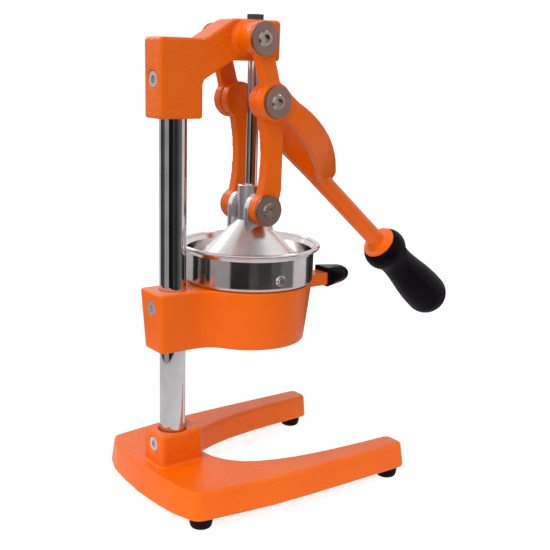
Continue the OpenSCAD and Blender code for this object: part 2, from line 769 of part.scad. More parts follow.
module press_cone() {
    color("gainsboro") difference() {
        union() {
            translate([0, 0, skirt_z]) cylinder(r = skirt_r, h = skirt_h);
            translate([0, 0, skirt_top]) cylinder(r1 = skirt_r, r2 = collar_r,
                h = (skirt_r - collar_r) / cone_shrink);
            translate([0, 0, neck_z]) cylinder(r = collar_r, h = collar_top - neck_z);
            crosswise(press_pivot, web_half, cheek_t / 2 - hub_half, hub_half - cheek_t / 2);
            translate([-web_half, cheek_t / 2 - hub_half, neck_z - cheek_half / 2])
                cube([2 * web_half, 2 * hub_half - cheek_t, pivot_rise + cheek_half / 2]);
            for (s = [-1, 1])
                translate([0, s * (hub_half - cheek_t / 2) + cheek_t / 2, press_pivot[1]]) rotate([90, 0, 0])
                    linear_extrude(cheek_t) {
                        circle(r = cheek_half);
                        translate([-cheek_half, neck_z - press_pivot[1] - cheek_half / 2])
                            square([2 * cheek_half, pivot_rise + cheek_half / 2]);
                    }
        }
        translate([0, 0, skirt_z - over])
            cylinder(r = skirt_r - press_wall, h = press_in_apex - (skirt_r - press_wall) / cone_shrink
                - skirt_z + over);
        translate([0, 0, press_in_apex - (skirt_r - press_wall) / cone_shrink])
            cylinder(r1 = skirt_r - press_wall, r2 = cavity_top_r,
                h = (skirt_r - press_wall - cavity_top_r) / cone_shrink);
        translate([0, 0, collar_top - rod_root]) cylinder(d = rod_d + 2 * running, h = rod_root + over);
        for (side = ["left", "right"]) to_side(side)
            crosswise(press_pivot, thread_r + running, rod_d / 2 + rod_keep, hub_half + over);
    }
}

module guide_rod() {
    color("silver") {
        translate([0, 0, collar_top - rod_root])
            cylinder(d = rod_d, h = head_top + loose - collar_top + rod_root);
        translate([0, 0, head_top]) cylinder(r = thread_r, h = nut_h + loose + stud_proud);
    }
}

module stop_nut() {
    color("darkslategray") translate([0, 0, head_top + loose]) difference() {
        cylinder(d = nut_w / cos(30), h = nut_h, $fn = 6);
        translate([0, 0, -over]) cylinder(r = thread_r + running, h = nut_h + 2 * over);
    }
}

// The press's pivot screws carry the links, which turn on their shoulders
module press_screw(side) {
    color("gray") to_side(side)
        pivot_screw(press_pivot, rod_d / 2 + rod_keep + thread_room, hub_half, link_out + loose + washer_t);
}

module press_washer(side) {
    color("dimgray") to_side(side) pivot_washer(press_pivot, link_out + loose);
}

module left_press_screw() {
    press_screw("left");
}

module right_press_screw() {
    press_screw("right");
}

module left_press_washer() {
    press_washer("left");
}

module right_press_washer() {
    press_washer("right");
}

// A link: two eyes joined by a bar that bows forward. Its upper bore ends in a web at the inner face.
module link(side) {
    half_len = link_len / 2;
    bow_r = (half_len * half_len + link_bow * link_bow) / (2 * link_bow);
    lean = atan2(knee[0] - press_pivot[0], knee[1] - press_pivot[1]);
    color("darkorange") to_side(side)
        translate([press_pivot[0], link_out, press_pivot[1]]) rotate([0, lean, 0]) rotate([90, 0, 0])
            difference() {
                linear_extrude(link_t) difference() {
                    union() {
                        circle(r = link_foot_r);
                        translate([0, link_len]) circle(r = link_top_r);
                        intersection() {
                            translate([link_bow - bow_r, half_len]) difference() {
                                circle(r = bow_r + link_half, $fn = 240);
                                circle(r = bow_r - link_half, $fn = 240);
                            }
                            translate([-link_top_r, 0]) square([2 * link_top_r, link_len]);
                        }
                    }
                    circle(r = shoulder_r + running);
                }
                translate([0, link_len, -over]) cylinder(r = shoulder_r + running, h = link_t - link_web + over);
            }
}

module left_link() {
    link("left");
}

module right_link() {
    link("right");
}

// Handle frame: its X runs from the knee pivot down the handle, its Z is square to that
module handle_frame() {
    translate([knee[0], 0, knee[1]]) rotate([0, handle_fall, 0]) children();
}

handle_drop = 3.2;
arch_peak = 30;
arch_rise = 7;
sweep_start = 10;
handle_root = 14;
flange_t = 3;
shank_len = 3;
shank_share = 0.74;
band_t = tine_t - 2 * boss_proud;
// Place along the handle where the bands' outer faces cross its axis
crotch = sweep_start + sqrt(pow(sweep_r, 2) - pow(sweep_r - tine_out + boss_proud, 2));

// The two bands, seen from above
module band_plan() {
    mid = tine_out - boss_proud - sweep_r;
    for (s = [-1, 1]) mirror([0, s < 0 ? 1 : 0, 0]) intersection() {
        difference() {
            translate([sweep_start, mid]) circle(r = sweep_r, $fn = 240);
            translate([sweep_start, mid]) circle(r = sweep_r - band_t, $fn = 240);
        }
        square([crotch + over, tine_out]);
    }
}

// The bands, seen from the side
module band_side() {
    difference() {
        translate([arch_peak, arch_rise - arch_r]) circle(r = arch_r + band_half, $fn = 360);
        translate([arch_peak, arch_rise - arch_r]) circle(r = arch_r - band_half, $fn = 360);
    }
}

module lever_fork() {
    color("darkorange") difference() {
        union() {
            for (side = ["left", "right"]) to_side(side) {
                crosswise(head_pivot, head_eye_r, tine_in, tine_out);
                crosswise(knee, knee_boss_r, tine_in, tine_out);
                translate([head_pivot[0], tine_in + boss_proud, head_pivot[1]])
                    rotate([0, 180 - crank_lean, 0]) translate([-upright_half, 0, 0])
                        cube([2 * upright_half, band_t, crank_len]);
            }
            handle_frame() {
                intersection() {
                    translate([0, 0, -4 * band_half]) linear_extrude(8 * band_half) band_plan();
                    translate([0, tine_out, 0]) rotate([90, 0, 0]) linear_extrude(2 * tine_out)
                        intersection() {
                            band_side();
                            translate([0, -4 * band_half]) square([crotch + over, 8 * band_half]);
                        }
                }
                translate([0, 0, -handle_drop]) rotate([0, 90, 0]) {
                    translate([0, 0, crotch - handle_root])
                        cylinder(r = handle_r, h = grip_start - crotch + handle_root);
                    translate([0, 0, grip_start - flange_t - shank_len])
                        cylinder(r1 = handle_r, r2 = flange_r * shank_share, h = shank_len);
                    translate([0, 0, grip_start - flange_t]) cylinder(r = flange_r, h = flange_t);
                    translate([0, 0, grip_start - over]) cylinder(r = grip_tang_r, h = grip_tang_len + over);
                }
            }
        }
        for (side = ["left", "right"]) to_side(side) {
            crosswise(head_pivot, shoulder_r + running, tine_in - over, tine_out + over);
            crosswise(knee, shoulder_r + running, tine_in - over, tine_out + over);
        }
    }
}

// Grip profile: [share of the length, share of the greatest radius]
grip_shares = [[0, 0.8], [0.012, 0.88], [0.035, 0.95], [0.065, 0.99], [0.095, 1], [0.125, 0.98], [0.155, 0.92],
    [0.185, 0.84], [0.215, 0.79], [0.26, 0.765], [0.32, 0.77], [0.4, 0.81], [0.48, 0.865], [0.56, 0.925],
    [0.64, 0.97], [0.72, 0.995]];
grip_round = 20;
grip_end_share = 0.998;

module hand_grip() {
    end_r = grip_r * grip_end_share;
    end_at = grip_len - end_r;
    color("black") handle_frame() translate([grip_start, 0, -handle_drop]) rotate([0, 90, 0]) difference() {
        rotate_extrude($fn = 72) polygon(concat([[0, 0]],
            [for (s = grip_shares) [s[1] * grip_r, s[0] * grip_len]],
            [for (k = [0 : grip_round]) let (a = 90 * k / grip_round)
                [end_r * cos(a), end_at + end_r * sin(a)]]));
        translate([0, 0, -over]) cylinder(r = grip_tang_r + running, h = grip_tang_len + over + loose);
    }
}

// The knee screws turn with the fork and end at its inner face
module knee_screw(side) {
    color("gray") to_side(side) pivot_screw(knee, tine_in, tine_in + tine_t / 3, tine_out + washer_t);
}

module knee_washer(side) {
    color("dimgray") to_side(side) pivot_washer(knee, tine_out);
}

module left_knee_screw() {
    knee_screw("left");
}

module right_knee_screw() {
    knee_screw("right");
}

module left_knee_washer() {
    knee_washer("left");
}

module right_knee_washer() {
    knee_washer("right");
}

base_casting();
rubber_feet();
foot_screws();
support_post();
base_set_screw();
cup_holder();
grip_cap();
holder_set_screw();
juice_cup();
juice_funnel();
outlet_spout();
strainer_dome();
head_casting();
head_set_screw();
guide_bush();
left_head_screw();
right_head_screw();
left_head_washer();
right_head_washer();
press_cone();
guide_rod();
stop_nut();
left_press_screw();
right_press_screw();
left_press_washer();
right_press_washer();
left_link();
right_link();
lever_fork();
hand_grip();
left_knee_screw();
right_knee_screw();
left_knee_washer();
right_knee_washer();
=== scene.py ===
import math

import bmesh
import bpy
from bpy.props import FloatProperty, FloatVectorProperty, PointerProperty
from bpy.types import Operator, Panel, PropertyGroup
from mathutils import Matrix, Vector


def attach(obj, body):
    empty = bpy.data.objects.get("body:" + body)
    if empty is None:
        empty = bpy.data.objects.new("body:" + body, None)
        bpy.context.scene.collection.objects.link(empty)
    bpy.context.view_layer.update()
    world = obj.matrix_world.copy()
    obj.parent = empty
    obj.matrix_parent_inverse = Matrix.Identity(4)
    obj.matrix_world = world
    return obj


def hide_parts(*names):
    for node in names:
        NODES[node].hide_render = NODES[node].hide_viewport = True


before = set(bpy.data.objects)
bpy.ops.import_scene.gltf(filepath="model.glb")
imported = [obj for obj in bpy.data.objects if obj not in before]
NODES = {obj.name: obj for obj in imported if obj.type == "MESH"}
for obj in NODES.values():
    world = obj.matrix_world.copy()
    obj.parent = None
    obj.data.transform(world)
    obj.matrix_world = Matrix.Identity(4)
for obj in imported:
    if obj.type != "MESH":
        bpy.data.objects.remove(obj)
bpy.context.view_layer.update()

bl_info = {
    "name": "Lever Juice Press",
    "version": (1, 0, 0),
    "blender": (4, 5, 0),
    "location": "View3D > Sidebar > Juice Press",
    "description": "Dresses the lever juice press: enamelled castings, chrome, brushed steel "
                   "and soft grips",
    "category": "Object",
}


# Sizes and colours that a user would change

class EnamelSettings(PropertyGroup):
    colour: FloatVectorProperty(
        name="Enamel", description="Colour of the enamel",
        subtype="COLOR", default=(0.92, 0.146, 0.0004), min=0, max=1)
    # The deeper colour drifts at random over the enamel, and a darker share of it is painted shade
    # in the pits of the ripple
    deep_tone_and_pit_shade: FloatVectorProperty(
        name="Deep Enamel and Pit Shade", description="Colour where the enamel lies thick",
        subtype="COLOR", default=(0.88, 0.13, 0.0004), min=0, max=1)
    peel: FloatProperty(
        name="Orange Peel", description="Depth of the ripple in the enamel",
        default=0.0003, unit="LENGTH")
    hammer: FloatProperty(
        name="Hammered Coat", description="Depth of the deeper ripple on the foot and the head",
        default=0.0007, unit="LENGTH")


class MetalSettings(PropertyGroup):
    chrome: FloatVectorProperty(
        name="Chrome", description="Colour of the post and the guide rod",
        subtype="COLOR", default=(0.74, 0.72, 0.73), min=0, max=1)
    steel: FloatVectorProperty(
        name="Brushed Steel", description="Colour of the cup, the funnel and the strainer",
        subtype="COLOR", default=(0.76, 0.69, 0.68), min=0, max=1)
    aluminium: FloatVectorProperty(
        name="Aluminium", description="Colour of the pressing cone",
        subtype="COLOR", default=(0.86, 0.83, 0.83), min=0, max=1)
    nickel: FloatVectorProperty(
        name="Nickel", description="Colour of the pivot screws",
        subtype="COLOR", default=(0.52, 0.44, 0.37), min=0, max=1)
    zinc: FloatVectorProperty(
        name="Zinc", description="Colour of the set screws and the feet's screws",
        subtype="COLOR", default=(0.9, 0.88, 0.87), min=0, max=1)
    washer: FloatVectorProperty(
        name="Washers", description="Colour of the pivot washers",
        subtype="COLOR", default=(0.38, 0.235, 0.205), min=0, max=1)
    dark: FloatVectorProperty(
        name="Dark Steel", description="Colour of the stop nut",
        subtype="COLOR", default=(0.09, 0.075, 0.075), min=0, max=1)
    brass: FloatVectorProperty(
        name="Brass", description="Colour of the guide bush",
        subtype="COLOR", default=(0.50, 0.33, 0.10), min=0, max=1)


class GripSettings(PropertyGroup):
    black: FloatVectorProperty(
        name="Grip", description="Colour of the hand grip and the bar's cap",
        subtype="COLOR", default=(0.0016, 0.0008, 0.0022), min=0, max=1)
    rubber: FloatVectorProperty(
        name="Rubber", description="Colour of the feet",
        subtype="COLOR", default=(0.005, 0.004, 0.004), min=0, max=1)


class StudioSettings(PropertyGroup):
    lens: FloatProperty(
        name="Lens", description="Focal length of the camera", default=60.21, unit="CAMERA")
    sun: FloatProperty(
        name="Overhead Light", description="Strength of the wide soft light", default=2.3)
    key: FloatProperty(
        name="Key Light", description="Power of the soft light at the left",
        default=5.0, unit="POWER")
    glint: FloatProperty(
        name="Glint", description="Power of the small lights that only gloss shows",
        default=1.0, unit="POWER")
    sky: FloatProperty(
        name="Surround", description="Brightness of the studio's walls", default=0.26)
    glow: FloatProperty(
        name="Reflected Surround", description="Brightness of the walls in reflections",
        default=0.9)
    paper: FloatProperty(
        name="Paper White", description="Brightness of the floor in the picture", default=0.88)
    floor: FloatProperty(
        name="Floor Glow", description="Light from the white floor", default=0.86)
    floor_shine: FloatProperty(
        name="Floor in Reflections", description="Share of the floor's light in reflections",
        default=0.6)


# Shader node groups

def shader_group(name, inputs, outputs):
    """An empty shader node group with its sockets, its input node and its output node."""
    group = bpy.data.node_groups.new(name, "ShaderNodeTree")
    for label, kind, value in inputs:
        socket = group.interface.new_socket(label, in_out="INPUT", socket_type=kind)
        socket.default_value = value
    for label, kind in outputs:
        group.interface.new_socket(label, in_out="OUTPUT", socket_type=kind)
    return group, group.nodes.new("NodeGroupInput"), group.nodes.new("NodeGroupOutput")


def set_inputs(node, values):
    """Sets sockets of a node by their labels."""
    for label, value in values.items():
        node.inputs[label].default_value = value


def feed(group, value, socket):
    """Sets a socket to a number, or links another socket to it."""
    if isinstance(value, (int, float)):
        socket.default_value = value
    else:
        group.links.new(value, socket)


def shader_math(group, operation, a, b):
    """The outcome of a math operation on two numbers or sockets."""
    node = group.nodes.new("ShaderNodeMath")
    node.operation = operation
    feed(group, a, node.inputs[0])
    feed(group, b, node.inputs[1])
    return node.outputs[0]


def shader_noise(group, vector, scale, detail, roughness):
    """Noise over a place, at a scale that is a number or a socket."""
    node = group.nodes.new("ShaderNodeTexNoise")
    set_inputs(node, {"Detail": detail, "Roughness": roughness})
    group.links.new(vector, node.inputs["Vector"])
    feed(group, scale, node.inputs["Scale"])
    return node.outputs["Fac"]


# How many times finer the casting's grain is than the ripple of its coat
FINE_PEEL = 2.7


def peel_group():
    """Ripple of a thick enamel coat, over the finer grain of the casting."""
    group, given, made = shader_group(
        "Enamel Ripple",
        [("Scale", "NodeSocketFloat", 600.0), ("Grain", "NodeSocketFloat", 0.35)],
        [("Height", "NodeSocketFloat")])
    place = group.nodes.new("ShaderNodeTexCoord").outputs["Object"]
    broad = shader_noise(group, place, given.outputs["Scale"], detail=1.5, roughness=0.45)
    finer = shader_math(group, "MULTIPLY", given.outputs["Scale"], FINE_PEEL)
    fine = shader_noise(group, place, finer, detail=2.0, roughness=0.5)
    grain = shader_math(group, "MULTIPLY", fine, given.outputs["Grain"])
    group.links.new(shader_math(group, "ADD", broad, grain), made.inputs["Height"])
    return group


def drift_group():
    """Slow change between two colours."""
    group, given, made = shader_group(
        "Colour Drift",
        [("Light", "NodeSocketColor", (1, 1, 1, 1)), ("Deep", "NodeSocketColor", (0, 0, 0, 1)),
         ("Scale", "NodeSocketFloat", 20.0)],
        [("Color", "NodeSocketColor")])
    place = group.nodes.new("ShaderNodeTexCoord").outputs["Object"]
    noise = shader_noise(group, place, given.outputs["Scale"], detail=3.0, roughness=0.55)
    ramp = group.nodes.new("ShaderNodeMapRange")
    set_inputs(ramp, {"From Min": 0.36, "From Max": 0.66})
    group.links.new(noise, ramp.inputs["Value"])
    blend = group.nodes.new("ShaderNodeMix")
    blend.data_type = "RGBA"
    group.links.new(ramp.outputs["Result"], blend.inputs["Factor"])
    group.links.new(given.outputs["Light"], blend.inputs["A"])
    group.links.new(given.outputs["Deep"], blend.inputs["B"])
    group.links.new(blend.outputs["Result"], made.inputs["Color"])
    return group


# The value about which noise swings
NOISE_MIDDLE = 0.5


def handling_group():
    """Roughness with faint smudges from handling and wiping."""
    group, given, made = shader_group(
        "Handling Marks",
        [("Roughness", "NodeSocketFloat", 0.3), ("Spread", "NodeSocketFloat", 0.1),
         ("Scale", "NodeSocketFloat", 30.0)],
        [("Roughness", "NodeSocketFloat")])
    place = group.nodes.new("ShaderNodeTexCoord").outputs["Object"]
    noise = shader_noise(group, place, given.outputs["Scale"], detail=4.0, roughness=0.6)
    smudge = shader_math(group, "SUBTRACT", noise, NOISE_MIDDLE)
    spread = shader_math(group, "MULTIPLY", smudge, given.outputs["Spread"])
    marked = shader_math(group, "ADD", given.outputs["Roughness"], spread)
    group.links.new(marked, made.inputs["Roughness"])
    return group


def line_noise(group, vector):
    """Noise of one line to each unit of a stretched place."""
    return shader_noise(group, vector, 1.0, detail=3.0, roughness=0.6)


def brushed_group():
    """Fine lines that a brush leaves, closest in the direction with the most lines to a metre."""
    group, given, made = shader_group(
        "Brushed Lines", [("Across", "NodeSocketVector", (60.0, 60.0, 4000.0))],
        [("Lines", "NodeSocketFloat")])
    place = group.nodes.new("ShaderNodeTexCoord").outputs["Object"]
    stretch = group.nodes.new("ShaderNodeVectorMath")
    stretch.operation = "MULTIPLY"
    group.links.new(place, stretch.inputs[0])
    group.links.new(given.outputs["Across"], stretch.inputs[1])
    group.links.new(line_noise(group, stretch.outputs[0]), made.inputs["Lines"])
    return group


def turned_group():
    """Fine rings round the pressing axis, on cones and flat faces."""
    group, given, made = shader_group(
        "Turned Rings", [("Rings", "NodeSocketFloat", 3000.0)], [("Lines", "NodeSocketFloat")])
    place = group.nodes.new("ShaderNodeTexCoord").outputs["Object"]
    split = group.nodes.new("ShaderNodeSeparateXYZ")
    group.links.new(place, split.inputs[0])
    square_x = shader_math(group, "MULTIPLY", split.outputs["X"], split.outputs["X"])
    square_y = shader_math(group, "MULTIPLY", split.outputs["Y"], split.outputs["Y"])
    radius = shader_math(group, "POWER", shader_math(group, "ADD", square_x, square_y), 0.5)
    rings = given.outputs["Rings"]
    join = group.nodes.new("ShaderNodeCombineXYZ")
    group.links.new(shader_math(group, "MULTIPLY", radius, rings), join.inputs["X"])
    group.links.new(shader_math(group, "MULTIPLY", split.outputs["Z"], rings), join.inputs["Y"])
    group.links.new(line_noise(group, join.outputs[0]), made.inputs["Lines"])
    return group


GROUP_MAKERS = {"Enamel Ripple": peel_group, "Colour Drift": drift_group,
                "Handling Marks": handling_group, "Brushed Lines": brushed_group,
                "Turned Rings": turned_group}


# Materials

def placed_group(material, name, values):
    """Puts a shader node group in a material, with its own values."""
    node = material.node_tree.nodes.new("ShaderNodeGroup")
    node.node_tree = bpy.data.node_groups.get(name) or GROUP_MAKERS[name]()
    set_inputs(node, values)
    return node


def new_material(name, constants):
    """A material with a Principled shader whose constant sockets are set."""
    material = bpy.data.materials.new(name)
    material.use_nodes = True
    shader = material.node_tree.nodes["Principled BSDF"]
    set_inputs(shader, constants)
    return material, shader


def add_bump(material, shader, height, distance):
    """Lets a height raise the surface by up to a distance."""
    bump = material.node_tree.nodes.new("ShaderNodeBump")
    set_inputs(bump, {"Distance": distance, "Strength": 1.0})
    material.node_tree.links.new(height, bump.inputs["Height"])
    material.node_tree.links.new(bump.outputs["Normal"], shader.inputs["Normal"])


def opaque(colour, share=1.0):
    """A colour times a share, with full alpha."""
    return (*(part * share for part in colour), 1.0)


def add_drift(material, light, deep, scale):
    """A slow change of colour that the material's base colour takes."""
    return placed_group(material, "Colour Drift",
                        {"Light": light, "Deep": deep, "Scale": scale}).outputs["Color"]


def add_marks(material, roughness, spread, scale):
    """Handling marks that the material's roughness takes."""
    return placed_group(material, "Handling Marks",
                        {"Roughness": roughness, "Spread": spread,
                         "Scale": scale}).outputs["Roughness"]


# Heights of the ripple between which the painted shade in its pits fades, and the share of
# brightness that painted shade keeps
PIT_SHADE_HEIGHTS = (0.5, 0.78)
PIT_SHADE_SHARE = 0.6


def enamel_material(name, ripple, depth, pit_shade):
    """Glossy enamel over a casting, with painted shade darkening the pits of its ripple."""
    enamel = bpy.context.scene.enamel
    material, shader = new_material(name, {"IOR": 1.5, "Specular IOR Level": 0.26})
    nodes, links = material.node_tree.nodes, material.node_tree.links
    drift = add_drift(material, opaque(enamel.colour), opaque(enamel.deep_tone_and_pit_shade), scale=24.0)
    marks = add_marks(material, roughness=0.16, spread=0.06, scale=60.0)
    links.new(marks, shader.inputs["Roughness"])
    peel = placed_group(material, "Enamel Ripple", {"Scale": ripple, "Grain": 0.35})
    add_bump(material, shader, peel.outputs["Height"], depth)
    # Painted shade: the low pits of the ripple take a darker copy of the deep enamel colour
    pit_shade_mask = nodes.new("ShaderNodeMapRange")
    set_inputs(pit_shade_mask, {"From Min": PIT_SHADE_HEIGHTS[0], "From Max": PIT_SHADE_HEIGHTS[1],
                      "To Min": pit_shade, "To Max": 0.0})
    links.new(peel.outputs["Height"], pit_shade_mask.inputs["Value"])
    pit_shade_mix = nodes.new("ShaderNodeMix")
    pit_shade_mix.data_type = "RGBA"
    pit_shade_mix.inputs["B"].default_value = opaque(enamel.deep_tone_and_pit_shade, PIT_SHADE_SHARE)
    links.new(pit_shade_mask.outputs["Result"], pit_shade_mix.inputs["Factor"])
    links.new(drift, pit_shade_mix.inputs["A"])
    links.new(pit_shade_mix.outputs["Result"], shader.inputs["Base Color"])
    return material


# Share of a metal's brightness in its darker patches, and turn of its stretched highlights
METAL_SHADE = 0.82
BRUSH_TURN = 0.25


def metal_material(name, colour, roughness, spread, anisotropic=0.0):
    """Metal whose colour drifts and whose roughness carries handling marks."""
    material, shader = new_material(name, {"Metallic": 1.0, "Anisotropic": anisotropic,
                                           "Anisotropic Rotation": BRUSH_TURN})
    links = material.node_tree.links
    drift = add_drift(material, opaque(colour), opaque(colour, METAL_SHADE), scale=35.0)
    links.new(drift, shader.inputs["Base Color"])
    marks = add_marks(material, roughness, spread, scale=60.0)
    links.new(marks, shader.inputs["Roughness"])
    return material


def add_lines(material, group, values, spread, depth):
    """Adds the lines of a brush or a lathe to a metal's roughness and to its surface."""
    tree = material.node_tree
    shader = tree.nodes["Principled BSDF"]
    lines = placed_group(material, group, values).outputs["Lines"]
    marks = shader.inputs["Roughness"].links[0].from_socket
    stronger = tree.nodes.new("ShaderNodeMath")
    stronger.operation = "MULTIPLY_ADD"
    stronger.inputs[1].default_value = spread
    tree.links.new(lines, stronger.inputs[0])
    tree.links.new(marks, stronger.inputs[2])
    tree.links.new(stronger.outputs[0], shader.inputs["Roughness"])
    add_bump(material, shader, lines, depth)


# Share of a soft piece's brightness in its lighter patches
SOFT_SHADE = 1.6


def soft_material(name, colour, roughness, grain, depth):
    """Moulded rubber or soft plastic."""
    material, shader = new_material(name, {"IOR": 1.46, "Specular IOR Level": 0.08})
    links = material.node_tree.links
    drift = add_drift(material, opaque(colour), opaque(colour, SOFT_SHADE), scale=40.0)
    links.new(drift, shader.inputs["Base Color"])
    marks = add_marks(material, roughness, spread=0.16, scale=70.0)
    links.new(marks, shader.inputs["Roughness"])
    pores = placed_group(material, "Enamel Ripple", {"Scale": grain, "Grain": 0.5})
    add_bump(material, shader, pores.outputs["Height"], depth)
    return material


# Mesh helpers

NODE_MERGE = 1e-5
SMOOTH_ANGLE = math.radians(38)


def new_object(name, bm, material):
    """An object in the scene with a bmesh's mesh and one material."""
    mesh = bpy.data.meshes.new(name)
    bm.to_mesh(mesh)
    bm.free()
    mesh.materials.append(material)
    piece = bpy.data.objects.new(name, mesh)
    bpy.context.scene.collection.objects.link(piece)
    return piece


def dress(names, material):
    """Gives CAD nodes a material through their material slots."""
    for name in names:
        for slot in NODES[name].material_slots:
            slot.material = material


def new_piece(name, bm, body, material):
    """Makes a piece from a bmesh, with its place in its mesh, and lets it ride on a body."""
    piece = new_object(name, bm, material)
    piece.data.polygons.foreach_set("use_smooth", [True] * len(piece.data.polygons))
    piece.data.set_sharp_from_angle(angle=SMOOTH_ANGLE)
    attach(piece, body)
    return piece


def node_bmesh(node):
    """A merged copy of a CAD node's mesh."""
    bm = bmesh.new()
    bm.from_mesh(NODES[node].data)
    bmesh.ops.remove_doubles(bm, verts=bm.verts[:], dist=NODE_MERGE)
    return bm


def only(kind, items):
    """The items of one kind, of those that a bmesh operator returns."""
    return [item for item in items if isinstance(item, kind)]


def add_shell(bm, rings):
    """Adds a closed skin over rings of points, each bridged to the next, with both ends filled."""
    loops = []
    for ring in rings:
        verts = [bm.verts.new(point) for point in ring]
        loops.append([bm.edges.new((verts[k - 1], verts[k])) for k in range(len(verts))])
    faces = []
    for low, high in zip(loops, loops[1:]):
        faces += bmesh.ops.bridge_loops(bm, edges=low + high)["faces"]
    for end in (loops[0], loops[-1]):
        faces += bmesh.ops.edgeloop_fill(bm, edges=end)["faces"]
    bmesh.ops.recalc_face_normals(bm, faces=faces)


CORNER_STEPS = 6
LEAST_RADIUS_SHARE = 0.25
SAME_MOVE = 1e-9


def round_corner(before, here, after, radius):
    """The points that round one corner of an outline."""
    a, b = (before - here).normalized(), (after - here).normalized()
    half = a.angle(b) / 2
    centre = here + (a + b).normalized() * radius / math.sin(half)
    first = here + a * radius / math.tan(half) - centre
    last = here + b * radius / math.tan(half) - centre
    turn = first.angle_signed(last)
    return [centre + Matrix.Rotation(-turn * k / CORNER_STEPS, 2) @ first
            for k in range(CORNER_STEPS + 1)]


def round_outline(points, radii, moves):
    """An outline whose edges have each moved inwards, with its corners rounded.

    Corners keep their centres where they can: one that bends inwards gets a wider radius as its
    edges move in, and one that bends outwards a tighter one.
    """
    moved, tight = [], []
    count = len(points)
    for k in range(count):
        into = (points[k] - points[k - 1]).normalized()
        out = (points[(k + 1) % count] - points[k]).normalized()
        a, b = Vector((-into.y, into.x)), Vector((-out.y, out.x))
        da, db, c = moves[k - 1], moves[k], a.dot(b)
        bend = math.copysign(1, into.x * out.y - into.y * out.x)
        tight.append(max(radii[k] - bend * (da + db) / 2, radii[k] * LEAST_RADIUS_SHARE))
        if abs(da - db) < SAME_MOVE:
            moved.append(points[k] + (a + b) * da / (1 + c))
        else:
            moved.append(points[k] + ((da - db * c) * a + (db - da * c) * b) / (1 - c * c))
    return [point for k in range(count)
            for point in round_corner(moved[k - 1], moved[k], moved[(k + 1) % count], tight[k])]


def soften(piece, voxel, passes):
    """Remeshes a casting and relaxes it, so that its corners flow into each other."""
    remesh = piece.modifiers.new("Even faces", "REMESH")
    remesh.mode = "VOXEL"
    remesh.voxel_size = voxel
    remesh.use_smooth_shade = True
    relax = piece.modifiers.new("Soft corners", "SMOOTH")
    relax.factor = 0.5
    relax.iterations = passes


# Foot casting. The outer edge of its left side runs from the rear to the front, and the edge of
# the gap from the front to the rear. Each point is [x, y].
FOOT_SIDE = ((-0.0985, 0.0755), (-0.06, 0.0806), (-0.028, 0.0841), (0.01, 0.0852),
             (0.05, 0.0856), (0.09, 0.0856), (0.1245, 0.0855))
FOOT_GAP = ((0.1245, 0.0612), (0.0867, 0.0595), (0.049, 0.0568), (0.02, 0.053), (0.0, 0.0482),
            (-0.0155, 0.0428), (-0.0275, 0.0360), (-0.0370, 0.0262), (-0.0432, 0.0140),
            (-0.0453, 0.0))
FOOT_REAR = ((-0.1072, -0.0504), (-0.1101, -0.0252), (-0.1114, 0.0), (-0.1101, 0.0252),
             (-0.1072, 0.0504))
REAR_CORNER = 0.012
FRONT_CORNER = 0.008
SIDE_BEND = 0.06
GAP_BEND = 0.022
FOOT_LOW = 0.0103
FOOT_TOP = 0.0336
FOOT_WALL = 0.005
FOOT_DRAFT = 0.003
FOOT_EDGE = 0.003
FOOT_RIM = 0.001
EDGE_STEPS = 5
PILLARS = ((-0.0875, 0.0645), (0.1105, 0.0735))
PILLAR_RADIUS = 0.007
PILLAR_SIDES = 48
SOCKET_CUT = 0.00005
SOCKET_SINK = 0.002


def mirrored(points):
    """Points on the right side for those on the left."""
    return [Vector((point.x, -point.y)) for point in points]


def foot_levels():
    """Height, inset and draft of each ring, down the hollow's wall and up the foot's outside."""
    levels = [(FOOT_TOP - FOOT_WALL, FOOT_WALL, 0.0), (FOOT_LOW, FOOT_WALL, 0.0)]
    angles = [math.radians(90 * k / EDGE_STEPS) for k in range(EDGE_STEPS + 1)]
    for angle in angles:
        rise, inset = 1 - math.cos(angle), 1 - math.sin(angle)
        levels.append((FOOT_LOW + FOOT_RIM * rise, FOOT_RIM * inset, 0.0))
    for angle in angles:
        fall, inset = 1 - math.sin(angle), 1 - math.cos(angle)
        levels.append((FOOT_TOP - FOOT_EDGE * fall, FOOT_EDGE * inset, FOOT_DRAFT))
    return levels


def add_foot(bm):
    """Adds the foot casting, hollow from below, with pillars for the feet."""
    side = [Vector(point) for point in FOOT_SIDE]
    gap = [Vector(point) for point in FOOT_GAP]
    rear = [Vector(point) for point in FOOT_REAR]
    outline = mirrored(side) + mirrored(gap[:-1]) + gap[::-1] + side[::-1] + rear[::-1]
    side_radii = [REAR_CORNER] + [SIDE_BEND] * (len(side) - 2) + [FRONT_CORNER]
    gap_radii = [FRONT_CORNER] + [GAP_BEND] * (len(gap) - 1)
    radii = (side_radii + gap_radii + gap_radii[-2::-1] + side_radii[::-1]
             + [SIDE_BEND] * len(rear))
    # The sides of the gap stand upright, and the outer sides lean in
    leans = ([1.0] * len(side) + [0.0] * (len(gap) * 2 - 2)
             + [1.0] * (len(side) + len(rear) + 1))
    rings = []
    for z, inset, draft in foot_levels():
        ring = round_outline(outline, radii, [inset + draft * lean for lean in leans])
        rings.append([(point.x, point.y, z) for point in ring])
    add_shell(bm, rings)
    pillar_top = FOOT_TOP - FOOT_WALL / 2
    for x, y in PILLARS:
        for side_y in (-y, y):
            middle = Matrix.Translation((x, side_y, (FOOT_LOW + pillar_top) / 2))
            bmesh.ops.create_cone(bm, cap_ends=True, segments=PILLAR_SIDES,
                                  radius1=PILLAR_RADIUS, radius2=PILLAR_RADIUS,
                                  depth=pillar_top - FOOT_LOW, matrix=middle)


